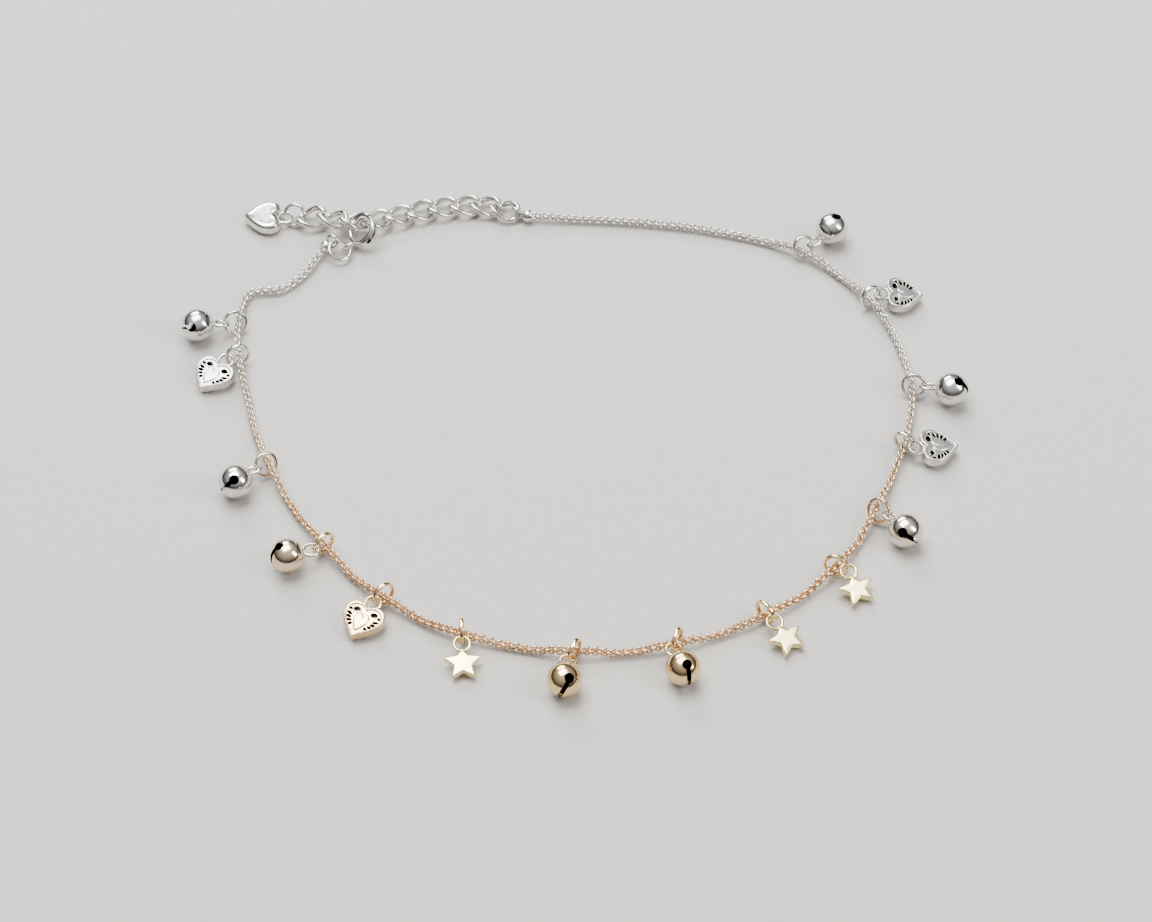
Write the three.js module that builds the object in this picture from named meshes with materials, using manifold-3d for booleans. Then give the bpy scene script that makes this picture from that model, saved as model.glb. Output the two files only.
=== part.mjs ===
// Payal anklet: a round-link chain laid in a loop, hung with jingle bells, pierced
// hearts and flat stars on jump rings, and closed by a spring ring hooked through a
// curb-link extender. Millimetres, +Z up, lying on a surface at z = 0.
import * as THREE from "three";
import { mergeVertices } from "three/addons/utils/BufferGeometryUtils.js";
import Module from "manifold-3d";

const wasm = await Module();
wasm.setup();

// Clearances
const pieceGap = 0.1;
const floorGap = 0.01;

// How finely each round shape is divided
const facets = {
  chainSides: 8, chainSteps: 80, jumpRing: 20, wire: 5, ring: 14, bell: [16, 9], bellInside: [10, 6],
  hole: 6, bellHole: 8, heart: 3, tailHeart: 4, link: 18, linkWire: 6, cap: [14, 9], pocket: 12,
  clasp: 30, claspTube: 9, bore: 7, knob: 8, sector: 10,
};

// Chain: outer diameter of its round links, and how the tube rises to its jump rings
const chainDiameter = 1.1;
const riseLength = 5;
const riseCrown = 1.5;

// Jump rings, bent from flat wire
const jumpWireThick = 0.3;
const jumpWireWide = 0.5;
const jumpPlay = 1.0;

// Eyes soldered to the charms, and how far an eye's centre hangs out past its jump ring
const eyeWire = 0.4;
const eyeHole = 1.4;
const bellEyeShift = 0.3;
const flatEyeShift = 0.25;
const flatEyeDrop = 0.05;

// Jingle bells
const bellDiameter = 4.0;
const bellWall = 0.25;
const bellSlotWidth = 0.45;
const bellHoleDiameter = 1.0;
const bellHoleAngle = 60;

// Filigree hearts, pierced on each side by the holes in the list: the place of a hole
// as a share of the heart's width and height, its length, and its turn in degrees
const heartWidth = 4.9;
const heartHeight = 4.5;
const heartThickness = 1.2;
const heartBevel = 0.3;
const heartNotch = 1.7;
const heartHoleWidth = 0.45;
const heartHoles = [
  { x: 0.22, y: 0.25, long: 0.7, turn: 0 },
  { x: 0.3, y: 0.04, long: 0.75, turn: 8 },
  { x: 0.24, y: -0.12, long: 0.7, turn: -24 },
  { x: 0.12, y: -0.21, long: 0.6, turn: -57 },
];

// Flat stars
const starTipRadius = 2.2;
const starValleyRadius = 1.1;
const starNeckRadius = 1.6;
const starThickness = 0.9;
const starBevel = 0.15;

// Curb extender: the opening inside a link, and its wire
const linkOpeningLength = 3.0;
const linkOpeningWidth = 1.9;
const linkWire = 0.7;
const linkTwist = 45;
const linkSquareness = 2.3;

// Spring ring clasp
const claspRingDiameter = 3.6;
const claspTube = 1.0;
const claspWall = 0.17;
const claspEyeHole = 1.1;
const boltPlay = 0.12;
const claspGapStart = 60;
const claspGapAngle = 45;
const claspTravel = 48;
const knobAngle = 46;
const knobDiameter = 0.34;
const knobHeight = 0.35;
const boltReach = 5;
const boltLength = 100;
const claspEndPlay = 4;
const claspHollow = 0.5;

// Jump ring of the clasp and ring of the tail, both of round wire
const claspJumpDiameter = 2.7;
const claspJumpWire = 0.5;
const tailRingDiameter = 2.6;
const tailRingWire = 0.42;

// End caps of the chain: a cup with a loop
const capWall = 0.15;
const capPocketDepth = 0.35;
const capLoopHole = 1.1;

// Plain puffed heart at the tail, flat at the back
const tailHeartWidth = 4.8;
const tailHeartHeight = 4.6;
const tailHeartThickness = 1.6;
const tailHeartBevel = 0.5;

// Values that follow from the sizes above
const chainRadius = chainDiameter / 2;
const jumpInner = (chainDiameter + eyeWire + jumpPlay) / 2;
const jumpOuter = jumpInner + jumpWireThick;
const jumpMiddle = jumpInner + jumpWireThick / 2;
const eyeRadius = (eyeHole + eyeWire) / 2;
const seatRoom = jumpInner - chainRadius - pieceGap / 2;
const bellRadius = bellDiameter / 2;
const bellReach = bellRadius + eyeRadius;
const heartReach = heartNotch + eyeRadius + eyeWire / 2;
const starReach = starNeckRadius + eyeRadius;
const claspRadius = claspRingDiameter / 2;
const boreRadius = claspTube / 2 - claspWall;
const boltRadius = boreRadius - boltPlay;
const capPocketRadius = chainRadius + pieceGap;
const capRadius = capPocketRadius + capWall;
const capLoopRadius = (capLoopHole + eyeWire) / 2;
const claspEyeRadius = (claspEyeHole + eyeWire) / 2;
const charmReach = {
  bell: { reach: bellReach, tip: 0, half: bellRadius },
  heart: { reach: heartReach, tip: heartHeight / 2, half: heartThickness / 2 },
  star: { reach: starReach, tip: starTipRadius * Math.cos(Math.PI / 5), half: starThickness / 2 },
};

// Route of the chain on the surface, from the clasp's end round the front to the
// extender's end
const chainRoute = [
  [-31.4, 33.8], [-32.3, 32.2], [-33.8, 29.7], [-36.4, 27.2], [-38.6, 26.9],
  [-40.3, 26.3], [-41.1, 23.2], [-41.2, 18.7], [-40.5, 14.0], [-39.4, 9.4],
  [-38.4, 4.9], [-37.1, 0.8], [-35.3, -3.4], [-32.7, -8.2], [-30.0, -12.2],
  [-27.4, -15.7], [-24.2, -19.2], [-20.3, -22.3], [-16.3, -24.8], [-12.4, -26.5],
  [-8.2, -27.6], [-4.2, -28.4], [0.0, -28.9], [6.4, -28.6], [12.4, -27.4],
  [18.6, -25.1], [22.8, -22.8], [27.2, -19.5], [31.5, -14.6], [34.7, -8.8],
  [37.4, -2.4], [39.3, 3.4], [40.3, 9.4], [39.7, 15.9], [37.4, 22.9],
  [31.4, 30.7], [25.8, 34.4], [17.0, 37.2], [6.4, 38.8], [-5.5, 39.5],
];

// Charms in order from the clasp. `along` is the share of the chain's length; `ring`
// and `lean` set the jump ring's plane; `seat` and `share` say where the chain lies in
// the ring; `cross` is where the ring passes through the eye; `hang` is the heading of
// the charm; `roll` turns a bell's slot about its axis. Angles in degrees.
const charms = [
  { kind: "bell", along: 0.0853, ring: 193, lean: -28, seat: 229, share: 0.68, cross: 5, hang: 192, roll: 50 },
  { kind: "heart", along: 0.1106, ring: 198, lean: -10, seat: 257, share: 0.83, cross: -9, hang: 235 },
  { kind: "bell", along: 0.1933, ring: 217, lean: -30, seat: 216, share: 0.75, cross: 6, hang: 227, roll: 25 },
  { kind: "bell", along: 0.2586, ring: 221, lean: -1, seat: 247, share: 0.87, cross: 4, hang: 203, roll: -13 },
  { kind: "heart", along: 0.3075, ring: 221, lean: -7, seat: 263, share: 0.83, cross: -8, hang: 242 },
  { kind: "star", along: 0.3561, ring: 271, lean: 0, seat: 264, share: 0.86, cross: -8, hang: 274 },
  { kind: "bell", along: 0.4176, ring: 244, lean: 0, seat: 233, share: 0.74, cross: 6, hang: 261, roll: 25 },
  { kind: "bell", along: 0.4719, ring: 250, lean: -3, seat: 274, share: 0.8, cross: 10, hang: 289, roll: 5 },
  { kind: "star", along: 0.5229, ring: 309, lean: 0, seat: 267, share: 0.88, cross: -8, hang: 302 },
  { kind: "star", along: 0.5727, ring: 340, lean: 8, seat: 247, share: 0.72, cross: -8, hang: 291 },
  { kind: "bell", along: 0.6192, ring: 318, lean: 31, seat: 201, share: 0.76, cross: 8, hang: 303, roll: -43 },
  { kind: "heart", along: 0.6703, ring: 326, lean: 0, seat: 262, share: 0.86, cross: -7, hang: 7 },
  { kind: "bell", along: 0.7121, ring: 350, lean: 28, seat: 242, share: 0.61, cross: 6, hang: 344, roll: -3 },
  { kind: "heart", along: 0.7836, ring: 33, lean: 10, seat: 262, share: 0.82, cross: -8, hang: 0 },
  { kind: "bell", along: 0.8385, ring: 31, lean: 24, seat: 234, share: 0.77, cross: -6, hang: 39, roll: 0 },
];

// Points where one curb link passes into the next, from the tail to the chain, and
// the turn of each link about its length in degrees
const linkJoints = [
  [-34.6, 39.0, 0.86], [-31.85, 38.83, 1.41], [-29.22, 37.9, 1.67], [-26.37, 37.91, 1.21],
  [-23.76, 38.95, 1.01], [-21.0, 39.8, 0.86], [-18.22, 40.56, 0.93], [-15.42, 41.03, 0.9],
  [-12.71, 41.28, 0.89], [-10.17, 40.93, 0.91], [-7.83, 40.02, 0.87],
];
const linkRolls = [6, -16, -14, -5, -6, 2, 0, 0, 0, -1];

// Places of the fittings and the way each ring faces
const tailEye = [-36.6, 39.2];
const tailRing = { center: [-35.34, 39.28, 1.22], normal: [-0.272, -0.719, 0.64] };
const claspRing = { center: [-26.76, 36.24, 1.77], heading: -152, tilt: 46 };
const claspEye = { around: 297.4, up: 54.4, turn: -46 };
const claspJump = { center: [-29.4, 33.32, 1.12], normal: [0.315, -0.248, 0.916] };
const caps = [
  { name: "end_cap_clasp", share: 0, loop: [-30.33, 34.22, 1.71], normal: [0.448, 0.795, -0.409] },
  { name: "end_cap_extender", share: 1, loop: [-7.32, 40.13, 1.07], normal: [0.461, 0.733, 0.5] },
];

const silver = 0xc9c7c2;
const gold = 0xd9b877;
const group = new THREE.Group();
const vec = (x, y, z) => new THREE.Vector3(x, y, z);
const radians = THREE.MathUtils.degToRad;
const heading = (degrees) => vec(Math.cos(radians(degrees)), Math.sin(radians(degrees)), 0);

// Matrix that sets a local origin, local Y along `y` and local Z towards `z`
function place(origin, y, z) {
  const up = y.clone().normalize();
  const side = vec(0, 0, 0).crossVectors(up, z).normalize();
  const front = vec(0, 0, 0).crossVectors(side, up);
  return new THREE.Matrix4().makeBasis(side, up, front).setPosition(origin);
}

// Closed solid of a geometry, its poles and seams joined
function toSolid(geometry, matrix = new THREE.Matrix4()) {
  const bare = geometry.clone().applyMatrix4(matrix);
  bare.deleteAttribute("normal");
  bare.deleteAttribute("uv");
  const merged = mergeVertices(bare, 1e-5);
  const corners = merged.index.array;
  const triangles = [];
  for (let i = 0; i < corners.length; i += 3) {
    const [a, b, c] = [corners[i], corners[i + 1], corners[i + 2]];
    if (a !== b && b !== c && c !== a) triangles.push(a, b, c);
  }
  return new wasm.Manifold(new wasm.Mesh({
    numProp: 3,
    vertProperties: Float32Array.from(merged.attributes.position.array),
    triVerts: Uint32Array.from(triangles),
  }));
}

// Named piece of plated metal
function addPiece(name, solid, color) {
  const { vertProperties, triVerts } = solid.getMesh();
  const geometry = new THREE.BufferGeometry();
  geometry.setAttribute("position", new THREE.BufferAttribute(Float32Array.from(vertProperties), 3));
  geometry.setIndex(Array.from(triVerts));
  geometry.computeVertexNormals();
  const material = new THREE.MeshStandardMaterial({ color, metalness: 1, roughness: 0.3 });
  const mesh = new THREE.Mesh(geometry, material);
  mesh.name = name;
  group.add(mesh);
}

// Matrix that sets a local origin and turns local Z along `normal`
function facing(origin, normal) {
  return place(origin, vec(0, 0, 0).crossVectors(vec(0, 0, 1), normal), normal);
}

// Round wire bent to a circle about local Z
function wireRing(meanRadius, wire, matrix) {
  return toSolid(new THREE.TorusGeometry(meanRadius, wire / 2, facets.wire, facets.ring), matrix);
}

// Charms on their jump rings

// Where a charm's jump ring lies and how high it lifts the chain
function jumpRingPlace(charm) {
  const outward = heading(charm.ring);
  const lean = radians(charm.lean);
  const up = vec(0, 0, Math.cos(lean)).addScaledVector(heading(charm.ring + 90), Math.sin(lean));
  const inPlane = (degrees) => outward.clone().multiplyScalar(Math.cos(radians(degrees)))
    .addScaledVector(up, Math.sin(radians(degrees)));
  const height = jumpOuter * Math.cos(lean) + (jumpWireWide / 2) * Math.abs(Math.sin(lean)) + floorGap;
  const seat = inPlane(charm.seat).multiplyScalar(charm.share * seatRoom);
  return { up, outward, inPlane, seat, height, chainHeight: height + seat.z };
}

// Route of the chain: flat on the surface, lifted in each jump ring and at its end caps
class ChainRoute extends THREE.Curve {
  constructor() {
    super();
    this.arcLengthDivisions = 1200;
    this.flat = new THREE.CatmullRomCurve3(chainRoute.map(([x, y]) => vec(x, y, 0)));
    this.flat.arcLengthDivisions = 2000;
    this.flatLength = this.flat.getLength();
    this.crests = charms.map((charm) => (
      { along: charm.along, height: jumpRingPlace(charm).chainHeight }));
    this.crests.push(...caps.map((cap) => ({ along: cap.share, height: capRadius + floorGap })));
  }

  getPoint(share, target = vec(0, 0, 0)) {
    target.copy(this.flat.getPointAt(share));
    target.z = chainRadius + floorGap;
    for (const { along, height } of this.crests) {
      const away = Math.abs(share - along) * this.flatLength;
      const rise = 1 - THREE.MathUtils.smoothstep(away, riseCrown, riseLength);
      target.z = Math.max(target.z, THREE.MathUtils.lerp(chainRadius + floorGap, height, rise));
    }
    return target;
  }
}
const route = new ChainRoute();

// Round tube of the chain's size along its route
function chainTube() {
  const section = new THREE.Shape();
  for (let i = 0; i < facets.chainSides; i += 1) {
    const turn = ((i + 0.5) / facets.chainSides) * 2 * Math.PI;
    const [x, y] = [chainRadius * Math.cos(turn), chainRadius * Math.sin(turn)];
    if (i === 0) section.moveTo(x, y);
    else section.lineTo(x, y);
  }
  return toSolid(new THREE.ExtrudeGeometry(section, {
    steps: facets.chainSteps, extrudePath: route, bevelEnabled: false,
  }));
}

// Flat wire bent to a circle about local Y
function jumpRingSolid(matrix) {
  const half = jumpWireWide / 2;
  const corners = [[jumpInner, -half], [jumpOuter, -half], [jumpOuter, half], [jumpInner, half]];
  const section = [...corners, corners[0]].map(([x, y]) => new THREE.Vector2(x, y));
  return toSolid(new THREE.LatheGeometry(section, facets.jumpRing), matrix);
}

// Hollow bell: local Y to its eye, a slot across the far pole along local X ending in
// round holes
function bellSolid(center, toEye, slot, eyeNormal) {
  const body = place(center, toEye, vec(0, 0, 0).crossVectors(slot, toEye));
  const shell = toSolid(new THREE.SphereGeometry(bellRadius, ...facets.bell), body)
    .subtract(toSolid(new THREE.SphereGeometry(bellRadius - bellWall, ...facets.bellInside), body));
  const reach = bellRadius * Math.sin(radians(bellHoleAngle));
  const depth = bellRadius * (1 - Math.cos(radians(bellHoleAngle)));
  const slotBox = new THREE.BoxGeometry(2 * reach, depth + bellWall, bellSlotWidth);
  slotBox.translate(0, -bellRadius + depth / 2 - bellWall / 2, 0);
  let solid = shell.subtract(toSolid(slotBox, body));
  for (const side of [-1, 1]) {
    const drill = new THREE.CylinderGeometry(
      bellHoleDiameter / 2, bellHoleDiameter / 2, bellRadius, facets.bellHole);
    drill.translate(0, -bellRadius / 2 - bellWall, 0).rotateZ(side * radians(bellHoleAngle));
    solid = solid.subtract(toSolid(drill, body));
  }
  const eyeCenter = center.clone().addScaledVector(toEye, bellReach);
  return solid.add(wireRing(eyeRadius, eyeWire, place(eyeCenter, toEye, eyeNormal)));
}

// Flat plate with chamfered edges from an outline in local XY, halfway up at local Z 0
function plate(outline, thickness, bevel, curveSegments) {
  const geometry = new THREE.ExtrudeGeometry(outline, {
    depth: thickness - 2 * bevel, bevelThickness: bevel, bevelSize: bevel,
    bevelOffset: -bevel, bevelSegments: 1, curveSegments,
  });
  return geometry.translate(0, 0, bevel - thickness / 2);
}

// Outline of a heart, its tip at local -Y and its notch at `notch`
function heartOutline(width, height, notch) {
  const [w, h] = [width / 2, height / 2];
  const shape = new THREE.Shape();
  shape.moveTo(0, notch);
  shape.bezierCurveTo(0.12 * w, 0.92 * h, 0.3 * w, h, 0.5 * w, h);
  shape.bezierCurveTo(0.82 * w, h, w, 0.7 * h, w, 0.36 * h);
  shape.bezierCurveTo(w, -0.2 * h, 0.45 * w, -0.62 * h, 0, -h);
  shape.bezierCurveTo(-0.45 * w, -0.62 * h, -w, -0.2 * h, -w, 0.36 * h);
  shape.bezierCurveTo(-w, 0.7 * h, -0.82 * w, h, -0.5 * w, h);
  shape.bezierCurveTo(-0.3 * w, h, -0.12 * w, 0.92 * h, 0, notch);
  return shape;
}

// Pierced filigree heart with its eye in the notch
function heartSolid(center, toEye, normal) {
  const body = place(center, toEye, normal);
  const outline = heartOutline(heartWidth, heartHeight, heartNotch);
  let solid = toSolid(plate(outline, heartThickness, heartBevel, facets.heart), body);
  for (const side of [-1, 1]) {
    for (const { x, y, long, turn } of heartHoles) {
      const drill = new THREE.CylinderGeometry(
        heartHoleWidth / 2, heartHoleWidth / 2, 2 * heartThickness, facets.hole);
      drill.rotateX(Math.PI / 2).scale(long / heartHoleWidth, 1, 1).rotateZ(radians(turn));
      drill.translate(x * heartWidth, y * heartHeight, 0);
      if (side < 0) drill.rotateY(Math.PI);
      solid = solid.subtract(toSolid(drill, body));
    }
  }
  const eyeCenter = center.clone().addScaledVector(toEye, heartReach);
  return solid.add(wireRing(eyeRadius, eyeWire, place(eyeCenter, toEye, normal)));
}

// Five-pointed star whose upper point runs into its eye
function starSolid(center, toEye, normal) {
  const outline = new THREE.Shape();
  for (let i = 0; i < 10; i += 1) {
    const turn = radians(90 + i * 36);
    const tip = i === 0 ? starNeckRadius : starTipRadius;
    const radius = i % 2 === 0 ? tip : starValleyRadius;
    const [x, y] = [radius * Math.cos(turn), radius * Math.sin(turn)];
    if (i === 0) outline.moveTo(x, y);
    else outline.lineTo(x, y);
  }
  const eyeCenter = center.clone().addScaledVector(toEye, starReach);
  return toSolid(plate(outline, starThickness, starBevel, 1), place(center, toEye, normal))
    .add(wireRing(eyeRadius, eyeWire, place(eyeCenter, toEye, normal)));
}

// A charm on its jump ring: the ring goes round the chain and through the charm's eye
function addCharm(charm, number) {
  const { up, outward, inPlane, seat, height, chainHeight } = jumpRingPlace(charm);
  const chainPoint = route.flat.getPointAt(charm.along).setZ(chainHeight);
  const center = chainPoint.clone().sub(seat).setZ(height);
  const ringNormal = vec(0, 0, 0).crossVectors(outward, up);
  addPiece(`jump_ring_${number}`, jumpRingSolid(place(center, ringNormal, outward)), tint(chainPoint));

  const crossing = center.clone().addScaledVector(inPlane(charm.cross), jumpMiddle);
  const hang = heading(charm.hang);
  const isBell = charm.kind === "bell";
  const eye = crossing.clone().addScaledVector(hang, isBell ? bellEyeShift : flatEyeShift);
  if (!isBell) eye.z -= flatEyeDrop;
  const { reach, tip, half } = charmReach[charm.kind];
  const drop = (eye.z - half - floorGap) / (reach + tip);
  const away = hang.clone().multiplyScalar(Math.sqrt(1 - drop * drop)).setZ(-drop);
  const body = eye.clone().addScaledVector(away, reach);
  const toEye = away.clone().negate();
  const side = heading(charm.hang + 90);
  const normal = vec(0, 0, 0).crossVectors(away, side);
  const name = `${charm.kind}_${number}`;
  if (charm.kind === "bell") {
    const slot = normal.clone().multiplyScalar(Math.cos(radians(charm.roll)))
      .addScaledVector(side, Math.sin(radians(charm.roll)));
    addPiece(name, bellSolid(body, toEye, slot, inPlane(charm.cross + 90)), tint(chainPoint));
  } else if (charm.kind === "heart") {
    addPiece(name, heartSolid(body, toEye, normal), tint(chainPoint));
  } else {
    addPiece(name, starSolid(body, toEye, normal), tint(chainPoint));
  }
}

// Plating runs from silver at the back to gold at the front
function tint(point) {
  return point.y > 0 ? silver : gold;
}

// Extender

// Twisted oval link between two joints, rolled about its length
function curbLinkSolid(from, to, roll) {
  const a = (linkOpeningLength + linkWire) / 2;
  const b = (linkOpeningWidth + linkWire) / 2;
  const round = (value) => Math.sign(value) * Math.abs(value) ** (2 / linkSquareness);
  const wire = new THREE.Curve();
  wire.getPoint = (share, target = vec(0, 0, 0)) => {
    const turn = 2 * Math.PI * share;
    const [x, y] = [a * round(Math.cos(turn)), b * round(Math.sin(turn))];
    const twist = radians(linkTwist) * (x / a);
    return target.set(x, y * Math.cos(twist), y * Math.sin(twist));
  };
  const along = to.clone().sub(from).normalize();
  const level = vec(0, 0, 0).crossVectors(vec(0, 0, 1), along).normalize();
  const upright = vec(0, 0, 0).crossVectors(along, level);
  const across = level.clone().multiplyScalar(Math.cos(radians(roll)))
    .addScaledVector(upright, Math.sin(radians(roll)));
  const matrix = new THREE.Matrix4().makeBasis(along, across, vec(0, 0, 0).crossVectors(along, across));
  matrix.setPosition(from.clone().add(to).multiplyScalar(0.5));
  return toSolid(closedWire(wire, linkWire, facets.link, facets.linkWire), matrix);
}

// Round wire along a closed curve
function closedWire(curve, wire, steps, sides) {
  const { tangents, normals, binormals } = curve.computeFrenetFrames(steps, true);
  const positions = [];
  const index = [];
  for (let i = 0; i < steps; i += 1) {
    const center = curve.getPointAt(i / steps);
    for (let j = 0; j < sides; j += 1) {
      const turn = (j / sides) * 2 * Math.PI;
      const point = center.clone().addScaledVector(normals[i], (wire / 2) * Math.cos(turn))
        .addScaledVector(binormals[i], (wire / 2) * Math.sin(turn));
      positions.push(point.x, point.y, point.z);
      const [k, l] = [((i + 1) % steps) * sides, (j + 1) % sides];
      index.push(i * sides + j, i * sides + l, k + l, i * sides + j, k + l, k + j);
    }
  }
  const geometry = new THREE.BufferGeometry();
  geometry.setAttribute("position", new THREE.Float32BufferAttribute(positions, 3));
  geometry.setIndex(index);
  return geometry;
}

for (let i = 0; i < linkRolls.length; i += 1) {
  const [from, to] = [vec(...linkJoints[i]), vec(...linkJoints[i + 1])];
  addPiece(`curb_link_${i + 1}`, curbLinkSolid(from, to, linkRolls[i]), silver);
}

// Plain heart at the tail, lying on its flat back, and the ring that carries it
function tailHeartSolid() {
  const center = vec(tailEye[0] - heartReach, tailEye[1], tailHeartThickness / 2);
  const outline = heartOutline(tailHeartWidth, tailHeartHeight, heartNotch);
  const matrix = place(center, vec(1, 0, 0), vec(0, 0, 1));
  const eye = place(vec(...tailEye, tailHeartThickness / 2), vec(1, 0, 0), vec(0, 0, 1));
  return toSolid(plate(outline, tailHeartThickness, tailHeartBevel, facets.tailHeart), matrix)
    .add(wireRing(eyeRadius, eyeWire, eye));
}
addPiece("tail_heart", tailHeartSolid(), silver);
addPiece("tail_ring", wireRing(tailRingDiameter / 2, tailRingWire,
  facing(vec(...tailRing.center), vec(...tailRing.normal))), silver);

// Cup that holds an end of the chain, with a loop soldered to its side
function addEndCap(cap) {
  const end = route.getPoint(cap.share).setZ(capRadius + floorGap);
  const outward = route.flat.getTangentAt(cap.share).multiplyScalar(cap.share === 0 ? -1 : 1);
  const center = end.clone().addScaledVector(outward, capRadius - capPocketDepth + pieceGap);
  const pocket = new THREE.CylinderGeometry(capPocketRadius, capPocketRadius, capRadius, facets.pocket);
  pocket.translate(0, capPocketDepth - 1.5 * capRadius, 0);
  const body = place(center, outward, vec(0, 0, 1));
  const loop = vec(...cap.loop);
  const normal = vec(...cap.normal);
  addPiece(cap.name, toSolid(new THREE.SphereGeometry(capRadius, ...facets.cap), body)
    .add(wireRing(capLoopRadius, eyeWire, facing(loop, normal)))
    .subtract(toSolid(pocket, body)), silver);
}
caps.forEach(addEndCap);

// Clasp, built about local Z with angles from local X

// Sector of a flat ring between two angles, its faces level with local Z
function sector(from, to, inner, outer, height) {
  const shape = new THREE.Shape();
  shape.absarc(0, 0, outer, radians(from), radians(to), false);
  shape.absarc(0, 0, inner, radians(to), radians(from), true);
  const slab = new THREE.ExtrudeGeometry(shape, {
    depth: height, bevelEnabled: false, curveSegments: facets.sector,
  });
  return toSolid(slab.translate(0, 0, -height / 2));
}

// Sector that takes in the whole tube between two angles
function tubeSector(from, to) {
  return sector(from, to, claspHollow, claspRadius + claspTube, 2 * claspTube);
}

// Matrix that sets the clasp's centre and turns local Z the way the clasp faces
function claspPlace() {
  const { center, heading: facingAngle, tilt } = claspRing;
  const normal = heading(facingAngle).multiplyScalar(Math.cos(radians(tilt)))
    .setZ(Math.sin(radians(tilt)));
  const level = heading(facingAngle + 90);
  return place(vec(...center), vec(0, 0, 0).crossVectors(normal, level), normal);
}

// Tube of the spring ring: open at its gap, bored for the bolt, slotted for the knob
function claspBodySolid() {
  const gapEnd = claspGapStart + claspGapAngle;
  const boltEnd = gapEnd + boltReach;
  const boreStart = boltEnd - boltLength - claspTravel - claspEndPlay;
  const bore = toSolid(new THREE.TorusGeometry(claspRadius, boreRadius, facets.bore, facets.clasp))
    .intersect(tubeSector(boreStart, boltEnd + claspEndPlay));
  const slotHalf = THREE.MathUtils.radToDeg((knobDiameter / 2 + pieceGap) / claspRadius);
  const slot = sector(knobAngle - claspTravel - slotHalf, knobAngle + slotHalf,
    claspRadius, claspRadius + claspTube, knobDiameter + 2 * pieceGap);
  return toSolid(new THREE.TorusGeometry(claspRadius, claspTube / 2, facets.claspTube, facets.clasp))
    .subtract(tubeSector(claspGapStart, gapEnd))
    .subtract(bore)
    .subtract(slot)
    .add(claspEyeSolid());
}

// Eye soldered to the side of the tube
function claspEyeSolid() {
  const around = radians(claspEye.around);
  const up = radians(claspEye.up);
  const turn = radians(claspEye.turn);
  const radial = vec(Math.cos(around), Math.sin(around), 0);
  const tangent = vec(-Math.sin(around), Math.cos(around), 0);
  const outward = radial.clone().multiplyScalar(Math.cos(up)).setZ(Math.sin(up));
  const normal = tangent.clone().multiplyScalar(Math.cos(turn))
    .addScaledVector(vec(0, 0, 0).crossVectors(outward, tangent), Math.sin(turn));
  const center = radial.multiplyScalar(claspRadius)
    .addScaledVector(outward, claspTube / 2 + claspEyeRadius);
  return wireRing(claspEyeRadius, eyeWire, place(center, outward, normal));
}

// Bolt of the clasp, closed across the gap, with the knob that draws it back
function boltSolid() {
  const boltEnd = claspGapStart + claspGapAngle + boltReach;
  const knobLength = claspTube / 2 + knobHeight;
  const knob = new THREE.CylinderGeometry(
    knobDiameter / 2, knobDiameter / 2, knobLength, facets.knob);
  knob.translate(0, claspRadius + knobLength / 2, 0).rotateZ(radians(knobAngle - 90));
  return toSolid(new THREE.TorusGeometry(claspRadius, boltRadius, facets.bore, facets.clasp))
    .intersect(tubeSector(boltEnd - boltLength, boltEnd))
    .add(toSolid(knob));
}

const claspMatrix = claspPlace().toArray();
addPiece("clasp_body", claspBodySolid().transform(claspMatrix), silver);
addPiece("clasp_bolt", boltSolid().transform(claspMatrix), silver);
addPiece("clasp_jump_ring", wireRing(claspJumpDiameter / 2, claspJumpWire,
  facing(vec(...claspJump.center), vec(...claspJump.normal))), silver);

charms.forEach((charm, index) => addCharm(charm, index + 1));
addPiece("chain", chainTube(), silver);

// Centre of the part over the origin, its lowest face at z = 0
const bounds = new THREE.Box3().setFromObject(group);
const middle = bounds.getCenter(vec(0, 0, 0));
group.position.set(-middle.x, -middle.y, -bounds.min.z);

export default group;
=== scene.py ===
"""Payal anklet laid out in a loop: plated silver fading to pale gold at the front."""

import math

import bpy
import numpy as np
from mathutils import Matrix, Vector


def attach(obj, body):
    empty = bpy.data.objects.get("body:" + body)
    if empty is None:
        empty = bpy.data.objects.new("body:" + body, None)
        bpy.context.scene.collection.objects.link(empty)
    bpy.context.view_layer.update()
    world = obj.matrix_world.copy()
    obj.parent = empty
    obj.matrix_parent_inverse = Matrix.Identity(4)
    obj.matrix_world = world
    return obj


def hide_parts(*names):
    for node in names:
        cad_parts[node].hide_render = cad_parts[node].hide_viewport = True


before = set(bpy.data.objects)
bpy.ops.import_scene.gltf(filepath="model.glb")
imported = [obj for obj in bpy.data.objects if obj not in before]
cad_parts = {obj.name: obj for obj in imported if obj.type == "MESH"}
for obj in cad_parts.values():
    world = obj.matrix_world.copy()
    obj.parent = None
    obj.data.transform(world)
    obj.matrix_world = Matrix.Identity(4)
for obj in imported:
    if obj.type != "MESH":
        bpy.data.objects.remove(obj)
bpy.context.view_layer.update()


# The studio: a plain pale floor, large soft lights and the camera, which looks down on
# the anklet from the front at fifty degrees.
def clear_bench():
    """Leaves nothing selected, so that an operator acts only on what is made next."""
    bpy.ops.object.select_all(action="DESELECT")
    bpy.context.view_layer.objects.active = None


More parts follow.
